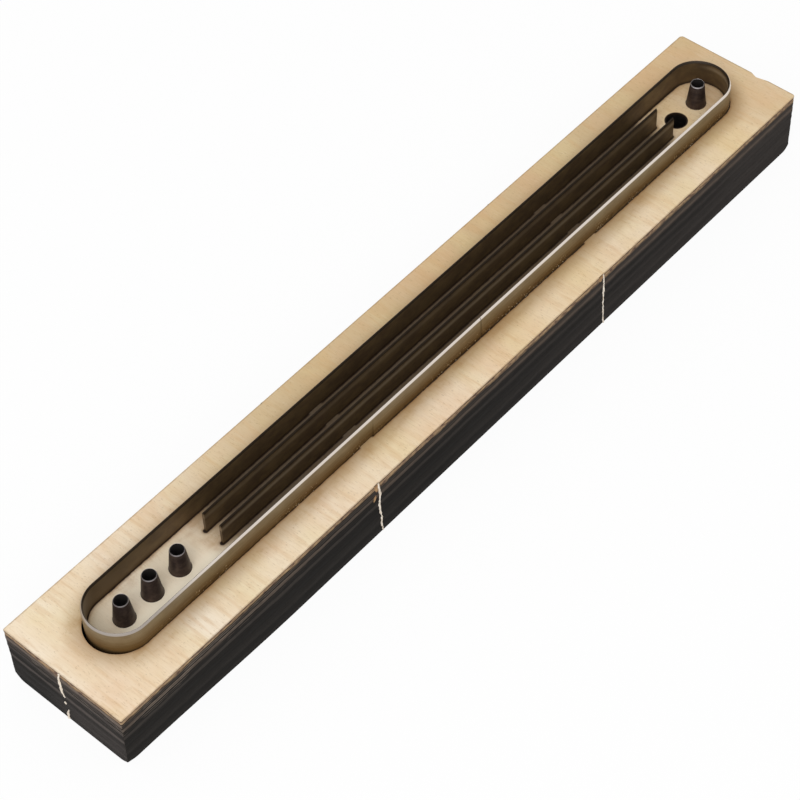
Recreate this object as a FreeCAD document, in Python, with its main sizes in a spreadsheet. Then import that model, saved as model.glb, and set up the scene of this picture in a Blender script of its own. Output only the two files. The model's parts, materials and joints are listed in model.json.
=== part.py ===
import FreeCAD, Part
import os
import Sketcher
from FreeCAD import Vector
from math import pi

# Leather cutting die for a three-strand strap.
# A plywood die board holds a bent outline rule, two straight slitting rules and four hollow punches.
# Frame: X along the strap, Y across it, Z up, origin at the middle of the board's underside.

document = FreeCAD.newDocument("leather_cutting_die")

# Driving dimensions, in millimetres
SIZES = [
    ("board_thickness", 17.3, "plywood thickness"),
    ("board_corner", 0.8, "radius left by the laser at the board's corners"),
    ("left_margin", 9.75, "board's left end to the strap's left end"),
    ("right_margin", 9.3, "strap's right end to the board's right end"),
    ("near_margin", 9.9, "board's near side to the strap's near side"),
    ("far_margin", 9.9, "strap's far side to the board's far side"),
    ("strap_length", 213.45, "strap, edge to edge"),
    ("strap_width", 15.0, "strap, edge to edge, with round ends"),
    ("strand_width", 5.0, "middle strand, between the two slits"),
    ("slit_start", 35.25, "strap's left end to the start of the slits"),
    ("slit_stop", 21.2, "end of the slits to the strap's right end"),
    ("rule_height", 23.8, "steel rule, lower edge to cutting edge"),
    ("rule_thickness", 0.71, "steel rule thickness"),
    ("bevel_height", 0.6, "ground bevel below the cutting edge"),
    ("joint_offset", 7.275, "strap's middle to the butt joint in the near straight"),
    ("joint_gap", 0.15, "gap between the two ends of the bent rule"),
    ("slot_clearance", 0.06, "slot wall to rule, each side"),
    ("bend_relief", 0.4, "room left in the slot outside the left bend"),
    ("left_bridge", 74.85, "strap's left end to the middle of the left bridges"),
    ("right_bridge", 60.0, "middle of the right bridges to the strap's right end"),
    ("bridge_width", 4.4, "wood left between two slots"),
    ("notch_clearance", 0.2, "rule notch to bridge, at the sides and above"),
    ("punch_diameter", 5.0, "punch body"),
    ("punch_clearance", 0.05, "punch body to its seat in the board, each side"),
    ("lip_diameter", 3.45, "top of the punch's taper"),
    ("lip_height", 0.3, "ground bevel at the lip"),
    ("hole_diameter", 3.1, "hole that the punch cuts"),
    ("throat_length", 4.0, "straight bore below the lip"),
    ("slug_diameter", 3.7, "wider bore that lets the slugs fall"),
    ("slug_taper_length", 1.5, "cone between the throat and the slug bore"),
    ("first_hole", 8.5, "strap's left end to the first punch"),
    ("hole_pitch", 8.25, "between the three punches"),
    ("last_hole", 8.0, "strap's right end to the last punch"),
    ("spare_hole_pitch", 8.0, "last punch to the bare hole beside it"),
    ("left_tab", 78.2, "board's left end to the left pair of side tabs"),
    ("right_tab", 75.9, "right pair of side tabs to the board's right end"),
    ("tab_end_place", 18.3, "board's near side to the tab of the left end"),
    ("tab_width", 0.5, "width of a snapped tab"),
    ("tab_stub", 0.3, "how far a snapped tab stands proud"),
    ("tab_root", 0.4, "depth from which a tab stub grows"),
    ("tear_place", 11.4, "board's near side to the tear in the right end"),
    ("tear_depth", 0.7, "depth of the tear where the right end's tab broke out"),
    ("tear_near_run", 3.2, "length of the tear's gentle side"),
    ("tear_far_run", 1.8, "length of the tear's steep side"),
]

sheet = document.addObject("Spreadsheet::Sheet", "sizes")
sheet.Label = "sizes"
for row, (size_name, size_value, size_meaning) in enumerate(SIZES, start=1):
    sheet.set("A%d" % row, size_name)
    sheet.set("B%d" % row, str(size_value))
    sheet.set("C%d" % row, size_meaning)
    sheet.setAlias("B%d" % row, size_name)
document.recompute()

ALIASES = [size_name for size_name, size_value, size_meaning in SIZES]


def linked(formula):
    """The formula with each size named as a cell of the sheet."""
    words = formula.replace("(", "( ").replace(")", " )").split()
    return " ".join("sizes." + word if word in ALIASES else word for word in words)


def number(formula):
    """What the formula gives now, in millimetres."""
    return float(sheet.evalExpression(linked(formula)))


# Sizes and places that several pieces share, written from the sheet's sizes
BOARD_LENGTH = "( left_margin + strap_length + right_margin )"
BOARD_WIDTH = "( near_margin + strap_width + far_margin )"
SLIT_LENGTH = "( strap_length - slit_start - slit_stop )"
STRAP_MIDDLE = "( strap_width / 2 )"
LEFT_BEND = "( strap_width / 2 )"
RIGHT_BEND = "( strap_length - strap_width / 2 )"
JOINT_LEFT = "( strap_length / 2 + joint_offset - joint_gap / 2 )"
JOINT_RIGHT = "( strap_length / 2 + joint_offset + joint_gap / 2 )"
HALF_RULE = "( rule_thickness / 2 )"
HALF_SLOT = "( rule_thickness / 2 + slot_clearance )"
SLOT_WIDTH = "( rule_thickness + 2 * slot_clearance )"
SEAT_DIAMETER = "( punch_diameter + 2 * punch_clearance )"
BRIDGES = ["left_bridge", "( strap_length - right_bridge )"]
SIDE_TABS = ["left_tab", "( %s - right_tab )" % BOARD_LENGTH]
SLITS = {
    "slitting_rule_near": "( ( strap_width - strand_width ) / 2 )",
    "slitting_rule_far": "( ( strap_width + strand_width ) / 2 )",
}
PUNCHES = {
    "hole_punch_1": "first_hole",
    "hole_punch_2": "( first_hole + hole_pitch )",
    "hole_punch_3": "( first_hole + 2 * hole_pitch )",
    "hole_punch_4": "( strap_length - last_hole )",
}
SPARE_HOLE = "( strap_length - last_hole - spare_hole_pitch )"

# How a constraint counts the points of a line or arc; a sketch's origin is its horizontal axis's start
START, END, CENTRE = range(1, 4)
ORIGIN = (-1, START)
HORIZONTAL_AXIS = ORIGIN[0]


def new_body(name, place_x, place_y):
    """A body whose own corner stands at a place on the board, counted from the board's corner."""
    body = document.addObject("PartDesign::Body", name)
    body.Label = name
    body.setExpression("Placement.Base.x", linked("%s - %s / 2" % (place_x, BOARD_LENGTH)))
    body.setExpression("Placement.Base.y", linked("%s - %s / 2" % (place_y, BOARD_WIDTH)))
    return body


def new_sketch(body, name, role, raised=None):
    """A sketch on one of the body's own planes, raised along the plane's normal if asked."""
    sketch = body.newObject("Sketcher::SketchObject", name)
    plane = [feature for feature in body.Origin.OriginFeatures if feature.Role == role][0]
    sketch.AttachmentSupport = [(plane, "")]
    sketch.MapMode = "FlatFace"
    if raised:
        sketch.setExpression("AttachmentOffset.Base.z", linked(raised))
    return sketch


def hold(sketch, name, formula, kind, *places):
    """A dimension of the sketch, tied to the sheet."""
    index = sketch.addConstraint(Sketcher.Constraint(kind, *places, number(formula)))
    sketch.renameConstraint(index, name)
    sketch.setExpression("Constraints." + name, linked(formula))


def draw_loop(sketch, corners):
    """Straight lines through the corners, closed. Returns the index of each line."""
    points = [Vector(number(x), number(y), 0) for x, y in corners]
    first = sketch.GeometryCount
    count = len(points)
    for step in range(count):
        sketch.addGeometry(Part.LineSegment(points[step], points[(step + 1) % count]), False)
    for step in range(count):
        following = first + (step + 1) % count
        sketch.addConstraint(Sketcher.Constraint("Coincident", first + step, END, following, START))
    return range(first, first + count)


def draw_rectangle(sketch, name, left, low, width, height):
    """An upright rectangle held by its lower left corner and its two sides."""
    right = "( %s + %s )" % (left, width)
    high = "( %s + %s )" % (low, height)
    sides = draw_loop(sketch, [(left, low), (right, low), (right, high), (left, high)])
    for side, direction in zip(sides, ["Horizontal", "Vertical", "Horizontal", "Vertical"]):
        sketch.addConstraint(Sketcher.Constraint(direction, side))
    base, right_side = sides[:2]
    hold(sketch, name + "_left", left, "DistanceX", *ORIGIN, base, START)
    hold(sketch, name + "_low", low, "DistanceY", *ORIGIN, base, START)
    hold(sketch, name + "_width", width, "DistanceX", base, START, base, END)
    hold(sketch, name + "_height", height, "DistanceY", right_side, START, right_side, END)


def draw_circle(sketch, name, centre_x, centre_y, diameter):
    centre = Vector(number(centre_x), number(centre_y), 0)
    circle = sketch.addGeometry(Part.Circle(centre, Vector(0, 0, 1), number(diameter) / 2), False)
    hold(sketch, name + "_across", centre_x, "DistanceX", *ORIGIN, circle, CENTRE)
    hold(sketch, name + "_along", centre_y, "DistanceY", *ORIGIN, circle, CENTRE)
    hold(sketch, name + "_diameter", diameter, "Diameter", circle)


def draw_bend_slot(sketch, name, inner_x, outer_x, open_x, middle_y, turn):
    """A U-shaped slot round one end of the strap.
    It is two parallel lines and a half circle on each side, closed at the two open ends.
    inner_x and outer_x are the places of the half circles' centres.
    turn is 1 where the half circles bulge to the right and -1 where they bulge to the left."""
    inner = "( strap_width / 2 - %s )" % HALF_SLOT
    outer = "( strap_width / 2 + %s )" % HALF_SLOT
    open_place = number(open_x)
    arcs = []
    legs = []
    for bend_x, radius in ((inner_x, inner), (outer_x, outer)):
        centre = Vector(number(bend_x), number(middle_y), 0)
        reach = number(radius)
        circle = Part.Circle(centre, Vector(0, 0, 1), reach)
        first_angle = -turn * pi / 2
        arc = sketch.addGeometry(Part.ArcOfCircle(circle, first_angle, first_angle + pi), False)
        low_end, high_end = (START, END) if turn > 0 else (END, START)
        for side, arc_end in ((-1, low_end), (1, high_end)):
            from_bend = Vector(centre.x, centre.y + side * reach, 0)
            to_opening = Vector(open_place, centre.y + side * reach, 0)
            leg = sketch.addGeometry(Part.LineSegment(from_bend, to_opening), False)
            sketch.addConstraint(Sketcher.Constraint("Tangent", leg, START, arc, arc_end))
            sketch.addConstraint(Sketcher.Constraint("Horizontal", leg))
            legs.append(leg)
        arcs.append(arc)
    inner_low, inner_high, outer_low, outer_high = legs
    for label, inner_leg, outer_leg in (("low", inner_low, outer_low), ("high", inner_high, outer_high)):
        inner_end = sketch.getPoint(inner_leg, END)
        outer_end = sketch.getPoint(outer_leg, END)
        cap = sketch.addGeometry(Part.LineSegment(inner_end, outer_end), False)
        sketch.addConstraint(Sketcher.Constraint("Coincident", cap, START, inner_leg, END))
        sketch.addConstraint(Sketcher.Constraint("Coincident", cap, END, outer_leg, END))
        sketch.addConstraint(Sketcher.Constraint("Vertical", cap))
        hold(sketch, "%s_open_%s" % (name, label), open_x, "DistanceX", *ORIGIN, cap, START)
    inner_arc, outer_arc = arcs
    sketch.addConstraint(Sketcher.Constraint("Horizontal", inner_arc, CENTRE, outer_arc, CENTRE))
    hold(sketch, name + "_inner_x", inner_x, "DistanceX", *ORIGIN, inner_arc, CENTRE)
    hold(sketch, name + "_outer_x", outer_x, "DistanceX", *ORIGIN, outer_arc, CENTRE)
    hold(sketch, name + "_middle_y", middle_y, "DistanceY", *ORIGIN, inner_arc, CENTRE)
    hold(sketch, name + "_inner", inner, "Radius", inner_arc)
    hold(sketch, name + "_outer", outer, "Radius", outer_arc)


def draw_rule_section(sketch):
    """Steel rule seen end on: a strip on edge, ground from both sides to a central cutting edge."""
    shoulder = "( rule_height - bevel_height )"
    corners = [
        ("( 0 - %s )" % HALF_RULE, "0"),
        (HALF_RULE, "0"),
        (HALF_RULE, shoulder),
        ("0", "rule_height"),
        ("( 0 - %s )" % HALF_RULE, shoulder),
    ]
    foot, right_side, right_bevel, left_bevel, left_side = draw_loop(sketch, corners)
    sketch.addConstraint(Sketcher.Constraint("Horizontal", foot))
    sketch.addConstraint(Sketcher.Constraint("Vertical", right_side))
    sketch.addConstraint(Sketcher.Constraint("Vertical", left_side))
    sketch.addConstraint(Sketcher.Constraint("Symmetric", foot, START, foot, END, *ORIGIN))
    sketch.addConstraint(Sketcher.Constraint("Equal", right_side, left_side))
    sketch.addConstraint(Sketcher.Constraint("Equal", right_bevel, left_bevel))
    hold(sketch, "thickness", "rule_thickness", "DistanceX", foot, START, foot, END)
    hold(sketch, "height", "rule_height", "DistanceY", foot, START, right_bevel, END)
    hold(sketch, "bevel", "bevel_height", "DistanceY", left_bevel, END, left_bevel, START)


def pad(body, name, sketch, length):
    feature = body.newObject("PartDesign::Pad", name)
    feature.Profile = sketch
    feature.Refine = True
    feature.setExpression("Length", linked(length))
    return feature


def cut_through(body, name, sketch):
    """Cut the sketch's areas right through the body, both ways from the sketch's plane."""
    feature = body.newObject("PartDesign::Pocket", name)
    feature.Profile = sketch
    feature.Type = "ThroughAll"
    feature.SideType = "Symmetric"
    feature.Refine = True
    return feature


def notch_for_bridges(body, start):
    """Notches in a rule's lower edge that straddle the bridges; start is the rule's zero on the strap."""
    sketch = new_sketch(body, "bridge_notch_outline", "XZ_Plane")
    for index, bridge in enumerate(BRIDGES, start=1):
        left = "( %s - %s - bridge_width / 2 - notch_clearance )" % (bridge, start)
        width = "( bridge_width + 2 * notch_clearance )"
        height = "( board_thickness + notch_clearance )"
        draw_rectangle(sketch, "notch_%d" % index, left, "0", width, height)
    cut_through(body, "bridge_notches", sketch)


# Die board: a laser-cut panel with slots, punch seats and snapped tabs
def build_die_board():
    body = new_body("die_board", "0", "0")
    outline = new_sketch(body, "board_outline", "XY_Plane")
    draw_rectangle(outline, "board", "0", "0", BOARD_LENGTH, BOARD_WIDTH)
    panel = pad(body, "panel", outline, "board_thickness")
    document.recompute()
    round_corners(body, panel)
    add_tab_stubs(body)
    tear_out_end_tab(body)
    cut_outline_slots(body)
    cut_slit_slots(body)
    cut_punch_seats(body)
    return body


def round_corners(body, panel):
    upright = []
    for index, edge in enumerate(panel.Shape.Edges, start=1):
        ends = [vertex.Point for vertex in edge.Vertexes]
        if abs(ends[0].z - ends[1].z) > edge.Length / 2:
            upright.append("Edge%d" % index)
    rounding = body.newObject("PartDesign::Fillet", "laser_corners")
    rounding.Base = (panel, upright)
    rounding.setExpression("Radius", linked("board_corner"))


def add_tab_stubs(body):
    """Stubs of the tabs that held the panel in its sheet: two on each long side, one on the left end."""
    sketch = new_sketch(body, "tab_stub_outlines", "XY_Plane")
    depth = "( tab_root + tab_stub )"
    proud = "( 0 - tab_stub )"
    far_root = "( %s - tab_root )" % BOARD_WIDTH
    for index, place in enumerate(SIDE_TABS, start=1):
        left = "( %s - tab_width / 2 )" % place
        draw_rectangle(sketch, "near_tab_%d" % index, left, proud, "tab_width", depth)
        draw_rectangle(sketch, "far_tab_%d" % index, left, far_root, "tab_width", depth)
    draw_rectangle(sketch, "end_tab", proud, "( tab_end_place - tab_width / 2 )", depth, "tab_width")
    pad(body, "tab_stubs", sketch, "board_thickness")


def tear_out_end_tab(body):
    """The right end's tab took a shallow wedge of wood with it."""
    sketch = new_sketch(body, "tear_outline", "XY_Plane")
    root = "( %s - tear_depth )" % BOARD_LENGTH
    beyond = "( %s + tear_depth )" % BOARD_LENGTH
    near_end = "( tear_place - 2 * tear_near_run )"
    far_end = "( tear_place + 2 * tear_far_run )"
    corners = [(root, "tear_place"), (beyond, near_end), (beyond, far_end)]
    gentle, mouth, steep = draw_loop(sketch, corners)
    sketch.addConstraint(Sketcher.Constraint("Vertical", mouth))
    hold(sketch, "root_x", root, "DistanceX", *ORIGIN, gentle, START)
    hold(sketch, "root_y", "tear_place", "DistanceY", *ORIGIN, gentle, START)
    hold(sketch, "reach", "( 2 * tear_depth )", "DistanceX", gentle, START, gentle, END)
    hold(sketch, "near_run", "( 2 * tear_near_run )", "DistanceY", gentle, END, gentle, START)
    hold(sketch, "far_run", "( 2 * tear_far_run )", "DistanceY", steep, END, steep, START)
    cut_through(body, "torn_tab", sketch)


def on_board_x(place):
    return "( left_margin + %s )" % place


def on_board_y(place):
    return "( near_margin + %s )" % place


def cut_outline_slots(body):
    """Slots for the outline rule: one round each bend and two straight ones between the bridges."""
    sketch = new_sketch(body, "outline_slot_outlines", "XY_Plane")
    middle = on_board_y(STRAP_MIDDLE)
    left_stop = on_board_x("%s - bridge_width / 2" % BRIDGES[0])
    right_stop = on_board_x("%s + bridge_width / 2" % BRIDGES[1])
    left_bend = on_board_x(LEFT_BEND)
    left_relief = on_board_x("%s - bend_relief" % LEFT_BEND)
    right_bend = on_board_x(RIGHT_BEND)
    draw_bend_slot(sketch, "left_bend", left_bend, left_relief, left_stop, middle, -1)
    draw_bend_slot(sketch, "right_bend", right_bend, right_bend, right_stop, middle, 1)
    inner_left = on_board_x("%s + bridge_width / 2" % BRIDGES[0])
    run = "( %s - %s - bridge_width )" % (BRIDGES[1], BRIDGES[0])
    for name, side in (("near_run", "0"), ("far_run", "strap_width")):
        draw_rectangle(sketch, name, inner_left, on_board_y("%s - %s" % (side, HALF_SLOT)), run, SLOT_WIDTH)
    cut_through(body, "outline_slots", sketch)


def cut_slit_slots(body):
    """Slots for the two slitting rules, each in three runs between the bridges."""
    sketch = new_sketch(body, "slit_slot_outlines", "XY_Plane")
    first_start = "( slit_start - slot_clearance )"
    first_end = "( %s - bridge_width / 2 )" % BRIDGES[0]
    second_start = "( %s + bridge_width / 2 )" % BRIDGES[0]
    second_end = "( %s - bridge_width / 2 )" % BRIDGES[1]
    third_start = "( %s + bridge_width / 2 )" % BRIDGES[1]
    third_end = "( strap_length - slit_stop + slot_clearance )"
    runs = [(first_start, first_end), (second_start, second_end), (third_start, third_end)]
    for name, place in SLITS.items():
        low = on_board_y("%s - %s" % (place, HALF_SLOT))
        for index, (start, end) in enumerate(runs, start=1):
            length = "( %s - %s )" % (end, start)
            draw_rectangle(sketch, "%s_run_%d" % (name, index), on_board_x(start), low, length, SLOT_WIDTH)
    cut_through(body, "slit_slots", sketch)


def cut_punch_seats(body):
    """Round seats for the four punches, and the same hole left bare beside the last one."""
    sketch = new_sketch(body, "punch_seat_outlines", "XY_Plane")
    for name, place in PUNCHES.items():
        draw_circle(sketch, name + "_seat", on_board_x(place), on_board_y(STRAP_MIDDLE), SEAT_DIAMETER)
    draw_circle(sketch, "bare_hole", on_board_x(SPARE_HOLE), on_board_y(STRAP_MIDDLE), SEAT_DIAMETER)
    cut_through(body, "punch_seats", sketch)


# Outline rule: the rule's section carried along the strap's outline, from joint to joint
def build_outline_rule():
    body = new_body("outline_rule", "left_margin", "near_margin")
    path = new_sketch(body, "bend_path", "XY_Plane")
    draw_bend_path(path)
    section = new_sketch(body, "rule_section", "YZ_Plane", raised=JOINT_RIGHT)
    draw_rule_section(section)
    document.recompute()
    bent = body.newObject("PartDesign::AdditivePipe", "bent_rule")
    bent.Profile = section
    bent.Spine = (path, ["Edge%d" % index for index in range(1, len(path.Shape.Edges) + 1)])
    bent.Mode = "Frenet"
    notch_for_bridges(body, "0")
    return body


def draw_bend_path(sketch):
    """Strap outline as the rule is bent: half a straight, a bend, a straight, a bend, half a straight."""
    left = number(LEFT_BEND)
    right = number(RIGHT_BEND)
    width = number("strap_width")
    bend_right = Part.Circle(Vector(right, width / 2, 0), Vector(0, 0, 1), width / 2)
    bend_left = Part.Circle(Vector(left, width / 2, 0), Vector(0, 0, 1), width / 2)
    right_start = Vector(number(JOINT_RIGHT), 0, 0)
    left_stop = Vector(number(JOINT_LEFT), 0, 0)
    near_right = sketch.addGeometry(Part.LineSegment(right_start, Vector(right, 0, 0)), False)
    right_arc = sketch.addGeometry(Part.ArcOfCircle(bend_right, -pi / 2, pi / 2), False)
    far_side = sketch.addGeometry(Part.LineSegment(Vector(right, width, 0), Vector(left, width, 0)), False)
    left_arc = sketch.addGeometry(Part.ArcOfCircle(bend_left, pi / 2, 3 * pi / 2), False)
    near_left = sketch.addGeometry(Part.LineSegment(Vector(left, 0, 0), left_stop), False)
    run = [near_right, right_arc, far_side, left_arc, near_left]
    for before, after in zip(run, run[1:]):
        sketch.addConstraint(Sketcher.Constraint("Tangent", before, END, after, START))
    sketch.addConstraint(Sketcher.Constraint("Horizontal", near_right))
    sketch.addConstraint(Sketcher.Constraint("Horizontal", far_side))
    sketch.addConstraint(Sketcher.Constraint("PointOnObject", near_right, START, HORIZONTAL_AXIS))
    sketch.addConstraint(Sketcher.Constraint("Equal", right_arc, left_arc))
    hold(sketch, "joint_right", JOINT_RIGHT, "DistanceX", *ORIGIN, near_right, START)
    hold(sketch, "joint_left", JOINT_LEFT, "DistanceX", *ORIGIN, near_left, END)
    hold(sketch, "right_bend", RIGHT_BEND, "DistanceX", *ORIGIN, right_arc, CENTRE)
    hold(sketch, "left_bend", LEFT_BEND, "DistanceX", *ORIGIN, left_arc, CENTRE)
    hold(sketch, "bend_radius", "( strap_width / 2 )", "Radius", right_arc)


# Slitting rules: straight lengths of the same rule, cut square
def build_slitting_rule(name):
    body = new_body(name, on_board_x("slit_start"), on_board_y(SLITS[name]))
    section = new_sketch(body, "rule_section", "YZ_Plane")
    draw_rule_section(section)
    pad(body, "straight_rule", section, SLIT_LENGTH)
    notch_for_bridges(body, "slit_start")
    return body


# Hole punches: turned tubes with a tapered head, a ground lip and a slug bore
def build_punch(name):
    body = new_body(name, on_board_x(PUNCHES[name]), on_board_y(STRAP_MIDDLE))
    half = new_sketch(body, "half_section", "XZ_Plane")
    throat_low = "( rule_height - throat_length )"
    corners = [
        ("( slug_diameter / 2 )", "0"),
        ("( punch_diameter / 2 )", "0"),
        ("( punch_diameter / 2 )", "board_thickness"),
        ("( lip_diameter / 2 )", "( rule_height - lip_height )"),
        ("( hole_diameter / 2 )", "rule_height"),
        ("( hole_diameter / 2 )", throat_low),
        ("( slug_diameter / 2 )", "( %s - slug_taper_length )" % throat_low),
    ]
    foot, body_side, taper, lip, throat, slug_taper, slug_side = draw_loop(half, corners)
    half.addConstraint(Sketcher.Constraint("Horizontal", foot))
    for upright in (body_side, throat, slug_side):
        half.addConstraint(Sketcher.Constraint("Vertical", upright))
    half.addConstraint(Sketcher.Constraint("PointOnObject", foot, START, HORIZONTAL_AXIS))
    hold(half, "slug_radius", "( slug_diameter / 2 )", "DistanceX", *ORIGIN, foot, START)
    hold(half, "body_radius", "( punch_diameter / 2 )", "DistanceX", *ORIGIN, foot, END)
    hold(half, "seated_length", "board_thickness", "DistanceY", *ORIGIN, taper, START)
    hold(half, "lip_radius", "( lip_diameter / 2 )", "DistanceX", *ORIGIN, lip, START)
    hold(half, "hole_radius", "( hole_diameter / 2 )", "DistanceX", *ORIGIN, lip, END)
    hold(half, "height", "rule_height", "DistanceY", *ORIGIN, lip, END)
    hold(half, "lip_bevel", "lip_height", "DistanceY", lip, START, lip, END)
    hold(half, "throat", "throat_length", "DistanceY", throat, END, throat, START)
    hold(half, "slug_cone", "slug_taper_length", "DistanceY", slug_taper, END, slug_taper, START)
    turned = body.newObject("PartDesign::Revolution", "turned_punch")
    turned.Profile = half
    turned.ReferenceAxis = (half, ["V_Axis"])
    return body


bodies = [build_die_board(), build_outline_rule()]
bodies += [build_slitting_rule(name) for name in SLITS]
bodies += [build_punch(name) for name in PUNCHES]
document.recompute()

for item in document.Objects:
    if "Invalid" in item.State or "Error" in item.State:
        raise RuntimeError("%s failed: %s" % (item.Label, item.State))
for body in bodies:
    if body.Shape.isNull() or not body.Shape.isValid() or len(body.Shape.Solids) != 1:
        raise RuntimeError("%s is not one valid solid" % body.Label)

os.makedirs("parts", exist_ok=True)
for body in bodies:
    body.Shape.exportStep("parts/%s.step" % body.Label)
    box = body.Shape.BoundBox
    print("%-20s volume %9.1f mm3, x %.2f to %.2f, y %.2f to %.2f, z %.2f to %.2f"
          % (body.Label, body.Shape.Volume, box.XMin, box.XMax, box.YMin, box.YMax, box.ZMin, box.ZMax))
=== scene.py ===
# %% [markdown]
# # A steel-rule cutting die for a leather strap
#
# The die is a laser-cut plywood board that holds sharpened steel rules on edge. One rule is bent round the
# strap's outline, two straight ones slit it into three strands, and four hollow punches cut the closure holes.
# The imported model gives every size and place, so the script starts by loading it and measuring it.

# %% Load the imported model
import json

import bpy
import numpy as np
from mathutils import Matrix, Vector
from mathutils.geometry import delaunay_2d_cdt


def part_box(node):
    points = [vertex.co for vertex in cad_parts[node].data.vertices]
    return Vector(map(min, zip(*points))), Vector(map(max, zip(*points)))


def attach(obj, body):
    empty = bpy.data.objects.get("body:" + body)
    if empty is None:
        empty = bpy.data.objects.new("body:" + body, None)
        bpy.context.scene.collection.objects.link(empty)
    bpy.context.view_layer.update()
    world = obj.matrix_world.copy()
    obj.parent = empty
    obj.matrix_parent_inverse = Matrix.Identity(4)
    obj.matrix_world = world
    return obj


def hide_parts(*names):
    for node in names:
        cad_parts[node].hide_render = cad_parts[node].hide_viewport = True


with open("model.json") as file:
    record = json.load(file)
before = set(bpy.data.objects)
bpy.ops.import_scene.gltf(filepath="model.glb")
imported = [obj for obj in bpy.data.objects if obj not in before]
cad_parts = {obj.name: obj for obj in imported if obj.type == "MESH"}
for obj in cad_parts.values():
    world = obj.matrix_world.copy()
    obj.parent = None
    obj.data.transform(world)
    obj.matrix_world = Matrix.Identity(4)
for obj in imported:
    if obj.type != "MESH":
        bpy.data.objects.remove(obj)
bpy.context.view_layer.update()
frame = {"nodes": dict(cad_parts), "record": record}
print("CAD nodes:", ", ".join(sorted(frame["nodes"])))

# %% [markdown]
# ## Millimetres first
#
# Toolmakers think in millimetres and Blender in metres. All shapes below are worked out in millimetres, and
# one constant turns them into metres when a mesh is made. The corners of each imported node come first.

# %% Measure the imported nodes
MM = 0.001


def corners_mm(node):
    """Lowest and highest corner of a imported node, in millimetres."""
    return [np.array(corner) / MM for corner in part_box(node)]


board_low, board_high = corners_mm("die_board")
outline_low, outline_high = corners_mm("outline_rule")
slit_low, slit_high = corners_mm("slitting_rule_near")
TOP = board_high[2]
CUTTING_EDGE = outline_high[2]
RULE = slit_high[1] - slit_low[1]
STRAP_LEFT, STRAP_NEAR = outline_low[:2] + RULE / 2
STRAP_RIGHT, STRAP_FAR = outline_high[:2] - RULE / 2
STRAP_MIDDLE = (STRAP_NEAR + STRAP_FAR) / 2
BEND = (STRAP_FAR - STRAP_NEAR) / 2
print("strap %.1f by %.1f mm, rule %.2f mm thick" % (STRAP_RIGHT - STRAP_LEFT, 2 * BEND, RULE))

# %% [markdown]
# ## What the boxes cannot say
#
# A box has no word on a bevel, a bridge or a chipped edge. Those few sizes are written here once. The bridges
# are the stretches of wood that the laser leaves between two slots, so that the middle of the board stays put.

# %% Name the remaining sizes
SLOT_CLEARANCE = 0.06
BEND_RELIEF = 0.4
BEVEL = 0.6
EDGE_FLAT = 0.025
LEFT_BRIDGE = STRAP_LEFT + 74.85
RIGHT_BRIDGE = STRAP_RIGHT - 60.0
BRIDGE = 4.4
NOTCH_CLEARANCE = 0.2
JOINT = (STRAP_LEFT + STRAP_RIGHT) / 2 + 7.275
JOINT_GAP = 0.15
TAB_PROUD = 0.3
LEFT_CORNER, RIGHT_CORNER = 0.35, 0.9
PLIES = 11
PANEL_LOW = board_low[:2] + TAB_PROUD
PANEL_HIGH = np.array([board_high[0], board_high[1] - TAB_PROUD])
print("panel %.1f by %.1f by %.1f mm" % (*(PANEL_HIGH - PANEL_LOW), TOP))

# %% [markdown]
# ## Colours as a designer writes them
#
# Hex colours are sRGB, which is how a photo or a paint chart gives them. The shader adds light in linear
# numbers, so one function undoes the sRGB curve.

# %% Turn sRGB hex into linear colour


def linear(hex_colour):
    """Linear RGBA of an sRGB colour such as "c8b48a"."""
    srgb = np.array([int(hex_colour[i:i + 2], 16) for i in (0, 2, 4)]) / 255
    rgb = np.where(srgb <= 0.04045, srgb / 12.92, ((srgb + 0.055) / 1.055) ** 2.4)
    return (*rgb, 1.0)


print("mid grey 808080 is", round(linear("808080")[0], 3), "in linear light")

# %% [markdown]
# ## One way to add a node
#
# A material is a graph. This function adds any kind of node, sets what it is told, and takes each input either
# as a value or as the output of another node.

# %% Add a node


def add(tree, kind, inputs=None, **settings):
    node = tree.nodes.new("ShaderNode" + kind)
    for name, value in settings.items():
        setattr(node, name, value)
    for key, value in (inputs or {}).items():
        if isinstance(value, bpy.types.NodeSocket):
            tree.links.new(value, node.inputs[key])
        else:
            node.inputs[key].default_value = value
    return node


def new_material(name):
    """An empty material, its node tree, its shader and its object coordinates in millimetres."""
    material = bpy.data.materials.new(name)
    material.use_nodes = True
    tree = material.node_tree
    tree.nodes.clear()
    shader = add(tree, "BsdfPrincipled")
    add(tree, "OutputMaterial", {"Surface": shader.outputs["BSDF"]})
    place = add(tree, "TexCoord").outputs["Object"]
    scaled = add(tree, "VectorMath", {0: place, "Scale": 1 / MM}, operation="SCALE")
    return material, tree, shader, scaled.outputs["Vector"]


print("node helpers ready")

# %% [markdown]
# ## Small pieces of pattern
#
# Three shorthands keep the materials readable: arithmetic, a noise stretched to the size of the real grain, and
# a ramp that turns a measured value into a share from 0 to 1.

# %% Pattern helpers


def work(tree, operation, a, b=0.0, clamp=False):
    """Arithmetic on two values."""
    return add(tree, "Math", {0: a, 1: b}, operation=operation, use_clamp=clamp).outputs[0]


def grain(tree, millimetres, size, detail=2.0, roughness=0.5, offset=0.0):
    """Noise whose features measure about size (x, y, z) millimetres, from 0 to 1."""
    scale = tuple(1 / s for s in size)
    stretched = add(tree, "VectorMath", {0: millimetres, 1: scale, 2: (offset,) * 3}, operation="MULTIPLY_ADD")
    inputs = {"Vector": stretched.outputs["Vector"], "Scale": 1.0, "Detail": detail, "Roughness": roughness}
    return add(tree, "TexNoise", inputs).outputs["Fac"]


def share(tree, value, start, end):
    """0 where the value is at start, 1 where it is at end, smooth between them."""
    inputs = {"Value": value, "From Min": start, "From Max": end}
    return add(tree, "MapRange", inputs, interpolation_type="SMOOTHSTEP").outputs["Result"]


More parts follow.
